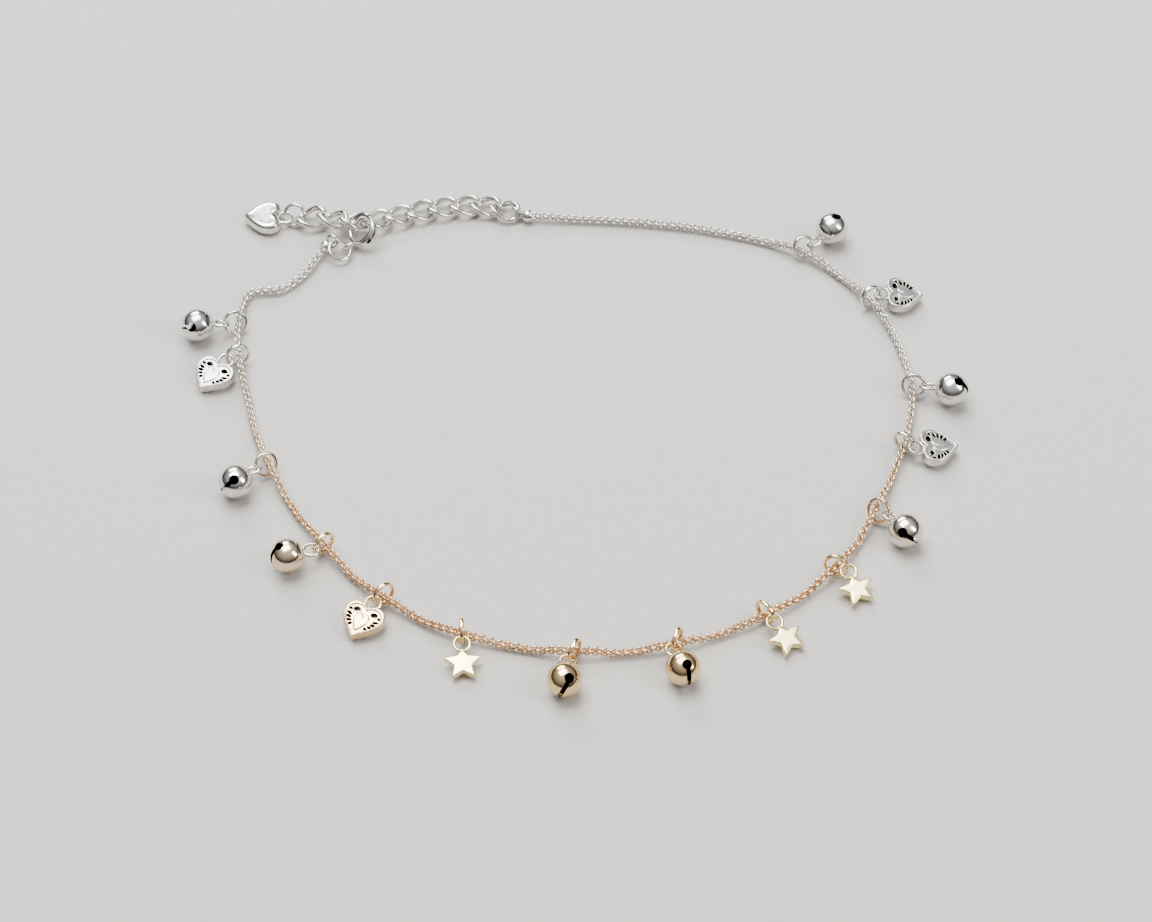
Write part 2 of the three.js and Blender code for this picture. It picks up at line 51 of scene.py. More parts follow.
clear_bench()
bpy.ops.mesh.primitive_plane_add(size=3.0, location=(0.0, 0.4, -0.0002))
floor = bpy.context.object
floor.name = "studio_floor"
paper = bpy.data.materials.new("studio_paper")
paper.use_nodes = True
nodes, links = paper.node_tree.nodes, paper.node_tree.links
skin = nodes["Principled BSDF"]
skin.inputs["Roughness"].default_value = 0.75
skin.inputs["Specular IOR Level"].default_value = 0.2
spot = nodes.new("ShaderNodeTexCoord")
fibre = nodes.new("ShaderNodeTexNoise")
fibre.inputs["Scale"].default_value = 900.0
fibre.inputs["Detail"].default_value = 3.0
tone = nodes.new("ShaderNodeValToRGB")
tone.color_ramp.elements[0].color = (0.50, 0.485, 0.465, 1.0)
tone.color_ramp.elements[1].color = (0.56, 0.545, 0.525, 1.0)
links.new(spot.outputs["Object"], fibre.inputs["Vector"])
links.new(fibre.outputs["Fac"], tone.inputs["Fac"])
links.new(tone.outputs["Color"], skin.inputs["Base Color"])
floor.data.materials.append(paper)

for name, place, width, depth, watts, color in (
        ("window_above", (-0.10, 0.16, 0.60), 0.52, 0.40, 5.2, (1.0, 0.985, 0.96)),
        ("window_right", (0.48, -0.14, 0.38), 0.16, 0.34, 1.8, (1.0, 0.97, 0.93)),
        ("window_back", (-0.20, 0.60, 0.40), 0.40, 0.24, 3.0, (0.98, 0.99, 1.0))):
    glow = bpy.data.lights.new(name, "AREA")
    glow.shape = "RECTANGLE"
    glow.size, glow.size_y = width, depth
    glow.energy = watts
    glow.color = color
    lamp = bpy.data.objects.new(name, glow)
    lamp.location = place
    lamp.rotation_euler = (-Vector(place)).to_track_quat("-Z", "Y").to_euler()
    bpy.context.collection.objects.link(lamp)

room = bpy.data.worlds.new("studio_room")
room.use_nodes = True
nodes, links = room.node_tree.nodes, room.node_tree.links
where = nodes.new("ShaderNodeTexCoord")
height = nodes.new("ShaderNodeSeparateXYZ")
wall = nodes.new("ShaderNodeValToRGB")
wall.color_ramp.elements[0].position = 0.12
wall.color_ramp.elements[0].color = (0.030, 0.024, 0.022, 1.0)
wall.color_ramp.elements[1].position = 0.90
wall.color_ramp.elements[1].color = (0.80, 0.80, 0.81, 1.0)
links.new(where.outputs["Generated"], height.inputs["Vector"])
links.new(height.outputs["Z"], wall.inputs["Fac"])
links.new(wall.outputs["Color"], nodes["Background"].inputs["Color"])
nodes["Background"].inputs["Strength"].default_value = 0.8
bpy.context.scene.world = room

eye_point = bpy.data.cameras.new("studio_camera")
eye_point.lens = 105.6
eye_point.sensor_width = 36.0
eye_point.clip_start = 0.01
eye_point.clip_end = 20.0
camera = bpy.data.objects.new("studio_camera", eye_point)
camera.location = (0.000539, -0.260741, 0.3064)
camera.rotation_euler = (math.radians(40.0), 0.0, 0.0)
bpy.context.collection.objects.link(camera)
bpy.context.scene.camera = camera
bpy.context.scene.view_settings.view_transform = "AgX"
bpy.context.scene.view_settings.look = "AgX - Medium High Contrast"


# The chain: a close round-link chain of fine silver wire, plated pale gold along its
# front and worn back to silver behind. Each link is a soldered ring turned a quarter
# from the last, and the route rises a little wherever a jump ring holds it up.

# The bench: the whole anklet is laid out in millimetres, a little off its own middle.
from_bench = Matrix.Scale(0.001, 4) @ Matrix.Translation((0.539, -3.641, 0.0))
chain_route = [
    (-31.4, 33.8), (-32.3, 32.2), (-33.8, 29.7), (-36.4, 27.2), (-38.6, 26.9),
    (-40.3, 26.3), (-41.1, 23.2), (-41.2, 18.7), (-40.5, 14.0), (-39.4, 9.4),
    (-38.4, 4.9), (-37.1, 0.8), (-35.3, -3.4), (-32.7, -8.2), (-30.0, -12.2),
    (-27.4, -15.7), (-24.2, -19.2), (-20.3, -22.3), (-16.3, -24.8), (-12.4, -26.5),
    (-8.2, -27.6), (-4.2, -28.4), (0.0, -28.9), (6.4, -28.6), (12.4, -27.4),
    (18.6, -25.1), (22.8, -22.8), (27.2, -19.5), (31.5, -14.6), (34.7, -8.8),
    (37.4, -2.4), (39.3, 3.4), (40.3, 9.4), (39.7, 15.9), (37.4, 22.9),
    (31.4, 30.7), (25.8, 34.4), (17.0, 37.2), (6.4, 38.8), (-5.5, 39.5)]
chain_radius = 0.55
chain_wire = 0.33
chain_pitch = 0.5
crest_flat = 1.5
crest_slope = 3.5
bench_gap = 0.01
ring_inner = 1.25
ring_outer = 1.55
ring_wide = 0.5
ring_middle = 1.4
seat_room = 0.65
cup_radius = 0.8

# Charms from the clasp round the front: kind, share of the chain, heading and lean of
# the jump ring, where the chain sits in it and how far out, where the ring passes the
# eye, heading of the charm, and the turn of a bell's slot.
charms = [
    ("bell", 0.0853, 193, -28, 229, 0.68, 5, 192, 50),
    ("heart", 0.1106, 198, -10, 257, 0.83, -9, 235, 0),
    ("bell", 0.1933, 217, -30, 216, 0.75, 6, 227, 25),
    ("bell", 0.2586, 221, -1, 247, 0.87, 4, 203, -13),
    ("heart", 0.3075, 221, -7, 263, 0.83, -8, 242, 0),
    ("star", 0.3561, 271, 0, 264, 0.86, -8, 274, 0),
    ("bell", 0.4176, 244, 0, 233, 0.74, 6, 261, 25),
    ("bell", 0.4719, 250, -3, 274, 0.8, 10, 289, 5),
    ("star", 0.5229, 309, 0, 267, 0.88, -8, 302, 0),
    ("star", 0.5727, 340, 8, 247, 0.72, -8, 291, 0),
    ("bell", 0.6192, 318, 31, 201, 0.76, 8, 303, -43),
    ("heart", 0.6703, 326, 0, 262, 0.86, -7, 7, 0),
    ("bell", 0.7121, 350, 28, 242, 0.61, 6, 344, -3),
    ("heart", 0.7836, 33, 10, 262, 0.82, -8, 0, 0),
    ("bell", 0.8385, 31, 24, 234, 0.77, -6, 39, 0)]


def trace_route(steps_a_span=80):
    """A smooth curve through the route's points, and how far each step lies along it."""
    p = np.array(chain_route)
    p = np.vstack([2 * p[0] - p[1], p, 2 * p[-1] - p[-2]])
    run = []
    for a, b, c, d in zip(p[:-3], p[1:-2], p[2:-1], p[3:]):
        ab, bc, cd = (math.sqrt(np.linalg.norm(v)) for v in (b - a, c - b, d - c))
        leave = ((b - a) / ab - (c - a) / (ab + bc) + (c - b) / bc) * bc
        arrive = ((c - b) / bc - (d - b) / (bc + cd) + (d - c) / cd) * bc
        t = np.linspace(0, 1, steps_a_span, endpoint=False)[:, None]
        run.append(b + leave * t + (3 * (c - b) - 2 * leave - arrive) * t ** 2
                   + (2 * (b - c) + leave + arrive) * t ** 3)
    run = np.vstack(run + [p[-2:-1]])
    steps = np.linalg.norm(np.diff(run, axis=0), axis=1)
    return run, np.concatenate([[0.0], np.cumsum(steps)])


route, travelled = trace_route()
chain_length = travelled[-1]


def route_at(share):
    """The route's point on the bench at a share of the chain's length."""
    s = np.asarray(share) * chain_length
    return np.stack([np.interp(s, travelled, route[:, k]) for k in (0, 1)], -1)


def heading(degrees):
    """Level direction, counted from the bench's X."""
    return Vector((math.cos(math.radians(degrees)), math.sin(math.radians(degrees)), 0.0))


def in_ring(ring, lean, degrees):
    """Direction at an angle in the plane of a jump ring, from its outward heading."""
    up = (Vector((0, 0, math.cos(math.radians(lean))))
          + heading(ring + 90) * math.sin(math.radians(lean)))
    return heading(ring) * math.cos(math.radians(degrees)) + up * math.sin(math.radians(degrees))


def ring_height(lean):
    """Height of a jump ring's middle when its edge rests on the surface."""
    return (ring_outer * math.cos(math.radians(lean))
            + ring_wide / 2 * abs(math.sin(math.radians(lean))) + bench_gap)


crests = [(0.0, cup_radius + bench_gap), (1.0, cup_radius + bench_gap)]
for kind, share, ring, lean, seat, out, cross, hang, roll in charms:
    seated = in_ring(ring, lean, seat) * out * seat_room
    crests.append((share, ring_height(lean) + seated.z))


def chain_height(share):
    """Height of the chain's middle, lifted near each jump ring and at the end cups."""
    low = chain_radius + bench_gap
    z = np.full(np.shape(share), low)
    for crest, top in crests:
        t = np.clip((np.abs(share - crest) * chain_length - crest_flat) / crest_slope, 0, 1)
        z = np.maximum(z, low + (top - low) * (1 - t * t * (3 - 2 * t)))
    return z


def chain_spot(share):
    """Points of the chain's middle, with their heights."""
    return np.concatenate([route_at(share), chain_height(share)[:, None]], 1)


def link_rings(centers, along, across, radius, wire, turns, sides):
    """Arrays of one small ring at each centre, lying in the plane of along and across."""
    a = np.arange(turns) / turns * 2 * math.pi
    b = np.arange(sides) / sides * 2 * math.pi
    reach = radius + wire / 2 * np.cos(b)[None, :]
    local = np.stack([reach * np.cos(a)[:, None], reach * np.sin(a)[:, None],
                      np.broadcast_to(wire / 2 * np.sin(b)[None, :], (turns, sides))], -1)
    out = np.cross(along, across)
    shape = np.stack([along, across, out], -2)
    points = centers[:, None, None, :] + np.einsum("abk,nkj->nabj", local, shape)
    i, j = np.meshgrid(np.arange(turns), np.arange(sides), indexing="ij")
    quad = np.stack([i * sides + j, (i + 1) % turns * sides + j,
                     (i + 1) % turns * sides + (j + 1) % sides, i * sides + (j + 1) % sides], -1)
    first = np.arange(len(centers))[:, None, None, None] * turns * sides
    return points.reshape(-1, 3), (quad[None] + first).reshape(-1, 4)


def take_up(piece):
    """Selects one piece alone, for the next operator."""
    clear_bench()
    piece.select_set(True)
    bpy.context.view_layer.objects.active = piece


def lay_out(name, points, edges, faces):
    """A new piece from its points, taken up for work."""
    mesh = bpy.data.meshes.new(name)
    mesh.from_pydata(points, edges, faces)
    piece = bpy.data.objects.new(name, mesh)
    bpy.context.collection.objects.link(piece)
    take_up(piece)
    return piece


def face_outwards(piece, weld=0.0):
    """Merges points closer than the weld and turns all faces outwards."""
    take_up(piece)
    bpy.ops.object.mode_set(mode="EDIT")
    bpy.ops.mesh.select_all(action="SELECT")
    if weld:
        bpy.ops.mesh.remove_doubles(threshold=weld)
    bpy.ops.mesh.normals_make_consistent(inside=False)
    bpy.ops.object.mode_set(mode="OBJECT")


link_lay, link_play, twist_size, twist_rate = 45.0, 7, 8, 60
link_count = int(chain_length // chain_pitch)
shares = (np.arange(link_count) + 0.5) / link_count
nudge = 0.0008
forward = chain_spot(np.clip(shares + nudge, 0, 1)) - chain_spot(np.clip(shares - nudge, 0, 1))
forward /= np.linalg.norm(forward, axis=1)[:, None]
level = np.cross([0.0, 0.0, 1.0], forward)
level /= np.linalg.norm(level, axis=1)[:, None]
upright = np.cross(forward, level)
luck = np.random.default_rng(7)
quarter_turn = np.where(np.arange(link_count) % 2 == 0, link_lay, -link_lay)
slow_twist = twist_size * np.sin(shares * twist_rate)
play = luck.uniform(-link_play, link_play, link_count)
lay = np.radians(quarter_turn + slow_twist + play)[:, None]
across = level * np.cos(lay) + upright * np.sin(lay)
points, faces = link_rings(chain_spot(shares), forward, across, chain_radius - chain_wire / 2,
                           chain_wire, turns=12, sides=5)
chain = lay_out("rolo_chain", points.tolist(), [], faces.tolist())
chain.data.transform(from_bench)
face_outwards(chain)
bpy.ops.object.shade_smooth()


# The plating: thin pale gold over silver, heavier at the front. The effect gives the
# colour from silver to gold by how far forward a point lies, dulls it in cloudy patches,
# and adds the faint scratches that wear leaves.
plating = bpy.data.node_groups.new("worn_plating", "ShaderNodeTree")
sockets = plating.interface
for socket, kind, value in (
        ("Gold Color", "NodeSocketColor", (0.86, 0.66, 0.38, 1.0)),
        ("Blush Color", "NodeSocketColor", (0.82, 0.67, 0.50, 1.0)),
        ("Silver Color", "NodeSocketColor", (0.74, 0.73, 0.71, 1.0)),
        ("Gold Below", "NodeSocketFloat", -0.018),
        ("Silver Above", "NodeSocketFloat", 0.012),
        ("Low Roughness", "NodeSocketFloat", 0.14),
        ("High Roughness", "NodeSocketFloat", 0.30),
        ("Tarnish", "NodeSocketFloat", 0.10)):
    sockets.new_socket(socket, in_out="INPUT", socket_type=kind).default_value = value
sockets.new_socket("Color", in_out="OUTPUT", socket_type="NodeSocketColor")
sockets.new_socket("Roughness", in_out="OUTPUT", socket_type="NodeSocketFloat")
sockets.new_socket("Scratches", in_out="OUTPUT", socket_type="NodeSocketFloat")
nodes, links = plating.nodes, plating.links
given = nodes.new("NodeGroupInput")
made = nodes.new("NodeGroupOutput")
place = nodes.new("ShaderNodeTexCoord")
split = nodes.new("ShaderNodeSeparateXYZ")
links.new(place.outputs["Object"], split.inputs["Vector"])
patches = nodes.new("ShaderNodeTexNoise")
patches.inputs["Scale"].default_value = 140.0
patches.inputs["Detail"].default_value = 2.0
links.new(place.outputs["Object"], patches.inputs["Vector"])
wander = nodes.new("ShaderNodeMath")
wander.operation = "MULTIPLY_ADD"
wander.inputs[1].default_value = 0.012
links.new(patches.outputs["Fac"], wander.inputs[0])
links.new(split.outputs["Y"], wander.inputs[2])
depth = nodes.new("ShaderNodeMapRange")
depth.interpolation_type = "SMOOTHSTEP"
links.new(wander.outputs["Value"], depth.inputs["Value"])
links.new(given.outputs["Gold Below"], depth.inputs["From Min"])
links.new(given.outputs["Silver Above"], depth.inputs["From Max"])
front = nodes.new("ShaderNodeMapRange")
front.inputs["From Max"].default_value = 0.5
links.new(depth.outputs["Result"], front.inputs["Value"])
back = nodes.new("ShaderNodeMapRange")
back.inputs["From Min"].default_value = 0.5
links.new(depth.outputs["Result"], back.inputs["Value"])
warm = nodes.new("ShaderNodeMix")
warm.data_type = "RGBA"
links.new(front.outputs["Result"], warm.inputs["Factor"])
links.new(given.outputs["Gold Color"], warm.inputs["A"])
links.new(given.outputs["Blush Color"], warm.inputs["B"])
cool = nodes.new("ShaderNodeMix")
cool.data_type = "RGBA"
links.new(back.outputs["Result"], cool.inputs["Factor"])
links.new(warm.outputs["Result"], cool.inputs["A"])
links.new(given.outputs["Silver Color"], cool.inputs["B"])
clouds = nodes.new("ShaderNodeTexNoise")
clouds.inputs["Scale"].default_value = 1100.0
clouds.inputs["Detail"].default_value = 3.0
links.new(place.outputs["Object"], clouds.inputs["Vector"])
dull = nodes.new("ShaderNodeMapRange")
dull.inputs["From Min"].default_value = 0.42
dull.inputs["From Max"].default_value = 0.72
links.new(clouds.outputs["Fac"], dull.inputs["Value"])
amount = nodes.new("ShaderNodeMath")
amount.operation = "MULTIPLY"
links.new(dull.outputs["Result"], amount.inputs[0])
links.new(given.outputs["Tarnish"], amount.inputs[1])
stain = nodes.new("ShaderNodeMix")
stain.data_type = "RGBA"
stain.inputs["B"].default_value = (0.34, 0.25, 0.16, 1.0)
links.new(amount.outputs["Value"], stain.inputs["Factor"])
links.new(cool.outputs["Result"], stain.inputs["A"])
links.new(stain.outputs["Result"], made.inputs["Color"])
shine = nodes.new("ShaderNodeMapRange")
links.new(clouds.outputs["Fac"], shine.inputs["Value"])
shine.inputs["From Min"].default_value = 0.35
shine.inputs["From Max"].default_value = 0.75
links.new(given.outputs["Low Roughness"], shine.inputs["To Min"])
links.new(given.outputs["High Roughness"], shine.inputs["To Max"])
links.new(shine.outputs["Result"], made.inputs["Roughness"])
stretch = nodes.new("ShaderNodeMapping")
stretch.inputs["Scale"].default_value = (1.0, 7.0, 3.0)
stretch.inputs["Rotation"].default_value = (0.3, 0.2, 0.7)
links.new(place.outputs["Object"], stretch.inputs["Vector"])
hairs = nodes.new("ShaderNodeTexNoise")
hairs.inputs["Scale"].default_value = 2400.0
hairs.inputs["Detail"].default_value = 2.0
links.new(stretch.outputs["Vector"], hairs.inputs["Vector"])
links.new(hairs.outputs["Fac"], made.inputs["Scratches"])


def plated_metal(name, **settings):
    """A polished metal whose plating, shine and scratches come from the wear effect."""
    metal = bpy.data.materials.new(name)
    metal.use_nodes = True
    nodes, links = metal.node_tree.nodes, metal.node_tree.links
    skin = nodes["Principled BSDF"]
    skin.inputs["Metallic"].default_value = 1.0
    wear = nodes.new("ShaderNodeGroup")
    wear.node_tree = plating
    for socket, value in settings.items():
        wear.inputs[socket.replace("_", " ")].default_value = value
    bump = nodes.new("ShaderNodeBump")
    bump.inputs["Strength"].default_value = 0.35
    bump.inputs["Distance"].default_value = 0.000004
    links.new(wear.outputs["Color"], skin.inputs["Base Color"])
    links.new(wear.outputs["Roughness"], skin.inputs["Roughness"])
    links.new(wear.outputs["Scratches"], bump.inputs["Height"])
    links.new(bump.outputs["Normal"], skin.inputs["Normal"])
    return metal


chain_plating = plated_metal(
    "chain_wire_plating", Gold_Color=(0.80, 0.565, 0.37, 1.0), Blush_Color=(0.78, 0.63, 0.47, 1.0),
    Gold_Below=-0.024, Silver_Above=0.024, Low_Roughness=0.18, High_Roughness=0.34, Tarnish=0.35)
chain.data.materials.append(chain_plating)
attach(chain, "anklet")
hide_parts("chain")


# Jump rings: silver wire, drawn a little flat, bent round and closed end to end with a
# hairline joint. One goes round the chain for each charm and through its eye.
def place_copy(parts, name, node, finish):
    """One piece from copies of finished masters, each (master, place), set on the anklet."""
    clear_bench()
    copies = []
    for master, spot in parts:
        copy = bpy.data.objects.new(name, master.data.copy())
        copy.data.transform(from_bench @ spot)
        if not copy.data.materials:
            copy.data.materials.append(finish)
        bpy.context.collection.objects.link(copy)
        copy.select_set(True)
        copies.append(copy)
    bpy.context.view_layer.objects.active = copies[0]
    if len(copies) > 1:
        bpy.ops.object.join()
    piece = bpy.context.view_layer.objects.active
    piece.name = piece.data.name = name
    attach(piece, "bolt" if node == "clasp_bolt" else "anklet")
    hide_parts(node)
    return piece


def put_away(*masters):
    """Takes masters and cutters off the bench when they have done their work."""
    for master in masters:
        mesh = master.data
        bpy.data.objects.remove(master)
        bpy.data.meshes.remove(mesh)


def set_down(origin, side, up, front):
    """Place of a piece on the bench from the directions of its own X, Y and Z."""
    turn = Matrix((side, up, front)).transposed().to_4x4()
    return Matrix.Translation(origin) @ turn


def turn_about_z(piece, degrees, steps, weld):
    """Turns a piece's section about Z into a ring, a shell or a bent bar."""
    take_up(piece)
    bpy.ops.object.mode_set(mode="EDIT")
    bpy.ops.mesh.select_all(action="SELECT")
    bpy.ops.mesh.spin(steps=steps, angle=math.radians(degrees), center=(0, 0, 0), axis=(0, 0, 1))
    bpy.ops.object.mode_set(mode="OBJECT")
    face_outwards(piece, weld)


def soften_edges(piece, width, segments, sharper_than):
    """Rounds a piece's sharp edges, and lets the rest of it shade smoothly."""
    take_up(piece)
    edge = piece.modifiers.new("edge", "BEVEL")
    edge.width = width
    edge.segments = segments
    edge.limit_method = "ANGLE"
    edge.angle_limit = math.radians(sharper_than)
    bpy.ops.object.modifier_apply(modifier="edge")
    bpy.ops.object.shade_smooth_by_angle(angle=math.radians(40))


ring_joint = 1.6
ring_edge = 0.15
band_inner = ring_inner - 0.08
flat_ring = lay_out("flat_ring", [
    (band_inner, 0, -ring_wide / 2), (ring_outer, 0, -ring_wide / 2),
    (ring_outer, 0, ring_wide / 2), (band_inner, 0, ring_wide / 2)], [], [(0, 1, 2, 3)])
turn_about_z(flat_ring, 360 - ring_joint, 44, 0.0005)
soften_edges(flat_ring, ring_edge, 3, 40)
ring_plating = plated_metal("flat_ring_plating", Low_Roughness=0.1, High_Roughness=0.22,
                            Tarnish=0.08)
ring_spots = []
for number, (kind, share, ring, lean, seat, out, cross, hang, roll) in enumerate(charms, 1):
    seated = in_ring(ring, lean, seat) * out * seat_room
    flat = route_at(share)
    center = Vector((flat[0] - seated.x, flat[1] - seated.y, ring_height(lean)))
    outward = in_ring(ring, lean, 0)
    up = in_ring(ring, lean, 90)
    place_copy([(flat_ring, set_down(center, outward, up, outward.cross(up)))],
               f"flat_ring_{number}", f"jump_ring_{number}", ring_plating)
    ring_spots.append(center)
put_away(flat_ring)


# The eye of a charm: a ring of round wire with a small pool of solder at its foot. It is
# made once, its foot at the origin and the eye standing up along Z.
eye_radius = 0.9
eye_wire = 0.4
solder_radius = 0.3
clear_bench()
bpy.ops.mesh.primitive_torus_add(major_radius=eye_radius, minor_radius=eye_wire / 2,
                                 major_segments=36, minor_segments=10,
                                 location=(0, 0, eye_radius), rotation=(math.radians(90), 0, 0))
eye_ring = bpy.context.object
bpy.ops.object.transform_apply(location=True, rotation=True, scale=True)
clear_bench()
bpy.ops.mesh.primitive_uv_sphere_add(segments=16, ring_count=8, radius=solder_radius,
                                     location=(0, 0, 0.02))
solder = bpy.context.object
solder.scale = (1.5, 0.9, 0.75)
bpy.ops.object.transform_apply(location=True, rotation=True, scale=True)
take_up(eye_ring)
solder.select_set(True)
bpy.ops.object.join()
bpy.ops.object.shade_smooth()


# Jingle bells: two thin pressed cups of plated brass closed over a groove near the eye,
# with a slot across the bottom that ends in round holes and lets the sound out.
def hung_from(number, reach, tip, half):
    """Where a charm's eye and body lie: out from its ring, down to the surface."""
    kind, share, ring, lean, seat, out, cross, hang, roll = charms[number - 1]
    crossing = ring_spots[number - 1] + in_ring(ring, lean, cross) * ring_middle
    slack, sink = (0.3, 0.0) if kind == "bell" else (0.25, 0.05)
    eye = crossing + heading(hang) * slack - Vector((0, 0, sink))
    drop = (eye.z - half - bench_gap) / (reach + tip)
    away = heading(hang) * math.sqrt(1 - drop * drop) - Vector((0, 0, drop))
    side = heading(hang + 90)
    return eye, eye + away * reach, away, side, away.cross(side)


def turned_shell(name, outline, steps, weld):
    """A round shell from one half of its outline, which stands in XZ."""
    shell = lay_out(name, outline, [(i, i + 1) for i in range(len(outline) - 1)], [])
    turn_about_z(shell, 360, steps, weld)
    return shell


def cut_away(piece, *cutters):
    """Cuts the shapes of cutters out of a piece."""
    for cutter in cutters:
        take_up(piece)
        cut = piece.modifiers.new("cut", "BOOLEAN")
        cut.object = cutter
        cut.operation = "DIFFERENCE"
        cut.solver = "EXACT"
        bpy.ops.object.modifier_apply(modifier="cut")
    put_away(*cutters)


bell_radius = 2.0
bell_wall = 0.25
bell_reach = bell_radius + eye_radius
groove_turn, groove_half, groove_deep = 58.5, 2.2, 0.05
from_eye = np.linspace(0, 180, 41)
girth = bell_radius - groove_deep * np.exp(-((from_eye - groove_turn) / groove_half) ** 2)
bell = turned_shell("bell_shell", [(r * math.sin(t), 0.0, r * math.cos(t))
                                   for r, t in zip(girth, np.radians(from_eye))], 48, 0.002)
wall = bell.modifiers.new("wall", "SOLIDIFY")
wall.thickness = bell_wall
wall.offset = -1.0
bpy.ops.object.modifier_apply(modifier="wall")

slot_wide = 0.52
hole_radius = 0.57
hole_turn = math.radians(60)
drill_reach, drill_long = 1.6, 1.2
clear_bench()
bpy.ops.mesh.primitive_cube_add(size=1.0, location=(0, 0, -drill_reach))
saw = bpy.context.object
saw.scale = (2 * bell_radius * math.sin(hole_turn), slot_wide, drill_long)
bpy.ops.object.transform_apply(location=True, rotation=True, scale=True)
drills = []
for side in (-1, 1):
    clear_bench()
    bpy.ops.mesh.primitive_cylinder_add(
        vertices=28, radius=hole_radius, depth=drill_long, rotation=(0, -side * hole_turn, 0),
        location=(side * drill_reach * math.sin(hole_turn), 0, -drill_reach * math.cos(hole_turn)))
    drills.append(bpy.context.object)
    bpy.ops.object.transform_apply(location=True, rotation=True, scale=True)
cut_away(bell, saw, *drills)
take_up(bell)
bpy.ops.object.shade_smooth_by_angle(angle=math.radians(38))

bell_plating = plated_metal("bell_plating", Gold_Color=(0.82, 0.63, 0.37, 1.0),
                            Gold_Below=-0.028, Silver_Above=-0.004,
                            Low_Roughness=0.15, High_Roughness=0.27, Tarnish=0.12)
# The inside of the shell is painted near black: a painted shade inside the bell, seen through the
# slot.
bell_inside_painted_shade = plated_metal("bell_inside_painted_shade", Gold_Color=(0.045, 0.030, 0.020, 1.0),
                           Blush_Color=(0.040, 0.032, 0.027, 1.0),
                           Silver_Color=(0.040, 0.038, 0.036, 1.0),
                           Low_Roughness=0.45, High_Roughness=0.7)
bell.data.materials.append(bell_plating)
bell.data.materials.append(bell_inside_painted_shade)
# Faces on the inner side of the wall take the near-black painted shade.
inner_side = bell_radius - bell_wall + 0.03
for face in bell.data.polygons:
    face.material_index = int(face.center.length < inner_side)
for number, (kind, share, ring, lean, seat, out, cross, hang, roll) in enumerate(charms, 1):
    if kind != "bell":
        continue
    eye, center, away, side, normal = hung_from(number, bell_reach, 0, bell_radius)
    slot_way = normal * math.cos(math.radians(roll)) + side * math.sin(math.radians(roll))
    body = set_down(center, slot_way, (-away).cross(slot_way), -away)
    through = in_ring(ring, lean, cross + 90)
    through = (through - away * through.dot(away)).normalized()
    foot = set_down(center - away * bell_radius, through.cross(-away), through, -away)
    place_copy([(bell, body), (eye_ring, foot)], f"ghungroo_{number}", f"bell_{number}",
               bell_plating)
put_away(bell)


# Pierced hearts: cast silver hearts with a raised rim, a plain domed middle, pierced slots
# fanned round it, round holes in the lobes and a row of beads along the lower edges. The
# eye is soldered into the notch.
heart_wide = 4.9
heart_tall = 4.5
heart_notch = 1.7
heart_thick = 1.2
heart_reach = heart_notch + eye_radius + eye_wire / 2
lobe_holes = ((1.1, 1.24, 0.84, 0.62), (1.8, 1.02, 0.38, 0.34))
slot_places = (0.03, 0.21, 0.39, 0.57)
slot_in, slot_long, slot_across = 0.68, 0.29, 0.33
round_handle = 0.56
plate_inset, plate_thick, plate_edge = 0.3, 0.9, 0.05
rim_wide, rim_tall, rim_edge = 0.8, 0.85, 0.16
boss_wide, boss_tall, boss_notch, boss_thick, boss_edge = 1.8, 2.5, 0.85, 0.5, 0.22
row_beads, row_start, row_step, row_in = 9, 0.24, 0.075, 0.88
row_bead, row_height = 0.15, 0.5
rosette_bead, rosette_at, rosette_size = 0.13, (-1.1, 1.12, 0.42), (0.44, 0.4)


def heart_knots(wide, tall, notch):
    """Points of a heart's outline with the handles before and after each."""
    w, h = wide / 2, tall / 2
    right = [((0.5 * w, h), (0.3 * w, h), (0.82 * w, h)),
             ((w, 0.36 * h), (w, 0.7 * h), (w, -0.2 * h))]
    knots = [((0, notch), (-0.12 * w, 0.92 * h), (0.12 * w, 0.92 * h)), *right,
             ((0, -h), (0.45 * w, -0.62 * h), (-0.45 * w, -0.62 * h))]
    knots += [((-p[0], p[1]), (-b[0], b[1]), (-a[0], a[1])) for p, a, b in reversed(right)]
    return knots


def from_drawing(name, drawing):
    """Makes a drawn line with a thickness into a mesh."""
    piece = bpy.data.objects.new(name, drawing)
    bpy.context.collection.objects.link(piece)
    take_up(piece)
    bpy.ops.object.convert(target="MESH")
    piece = bpy.context.object
    face_outwards(piece, 0.001)
    return piece


def stamped_plate(name, outlines, thick, edge, edge_steps, line_steps):
    """A flat plate with rounded edges from closed outlines; inner ones become holes."""
    drawing = bpy.data.curves.new(name, "CURVE")
    drawing.dimensions = "2D"
    drawing.fill_mode = "BOTH"
    drawing.resolution_u = line_steps
    drawing.extrude = thick / 2 - edge
    drawing.bevel_depth = edge
    drawing.bevel_resolution = edge_steps
    drawing.offset = -edge
    for knots in outlines:
        spline = drawing.splines.new("BEZIER")
        spline.bezier_points.add(len(knots) - 1)
        spline.use_cyclic_u = True
        for point, (at, before, after) in zip(spline.bezier_points, knots):
            point.co = (*at, 0)
            point.handle_left = (*before, 0)
            point.handle_right = (*after, 0)
    return from_drawing(name, drawing)


def hole_knots(x, y, long, wide, turn=0):
    """An oval hole, its long way turned from the plate's X."""
    c, s = math.cos(math.radians(turn)), math.sin(math.radians(turn))

    def at(u, v):
        return x + u * c - v * s, y + u * s + v * c

    a, b = long / 2, wide / 2
    p, q = round_handle * a, round_handle * b
    return [(at(a, 0), at(a, -q), at(a, q)), (at(0, b), at(p, b), at(-p, b)),
            (at(-a, 0), at(-a, q), at(-a, -q)), (at(0, -b), at(-p, -b), at(p, -b))]


def lower_edge(t, hand):
    """Point on the heart's edge at a share of the way from its widest place to its tip."""
    w, h = heart_wide / 2, heart_tall / 2
    u = 1 - t
    return (hand * (w * u ** 3 + 3 * w * u * u * t + 1.35 * w * u * t * t),
            0.36 * h * u ** 3 - 0.6 * h * u * u * t - 1.86 * h * u * t * t - h * t ** 3)


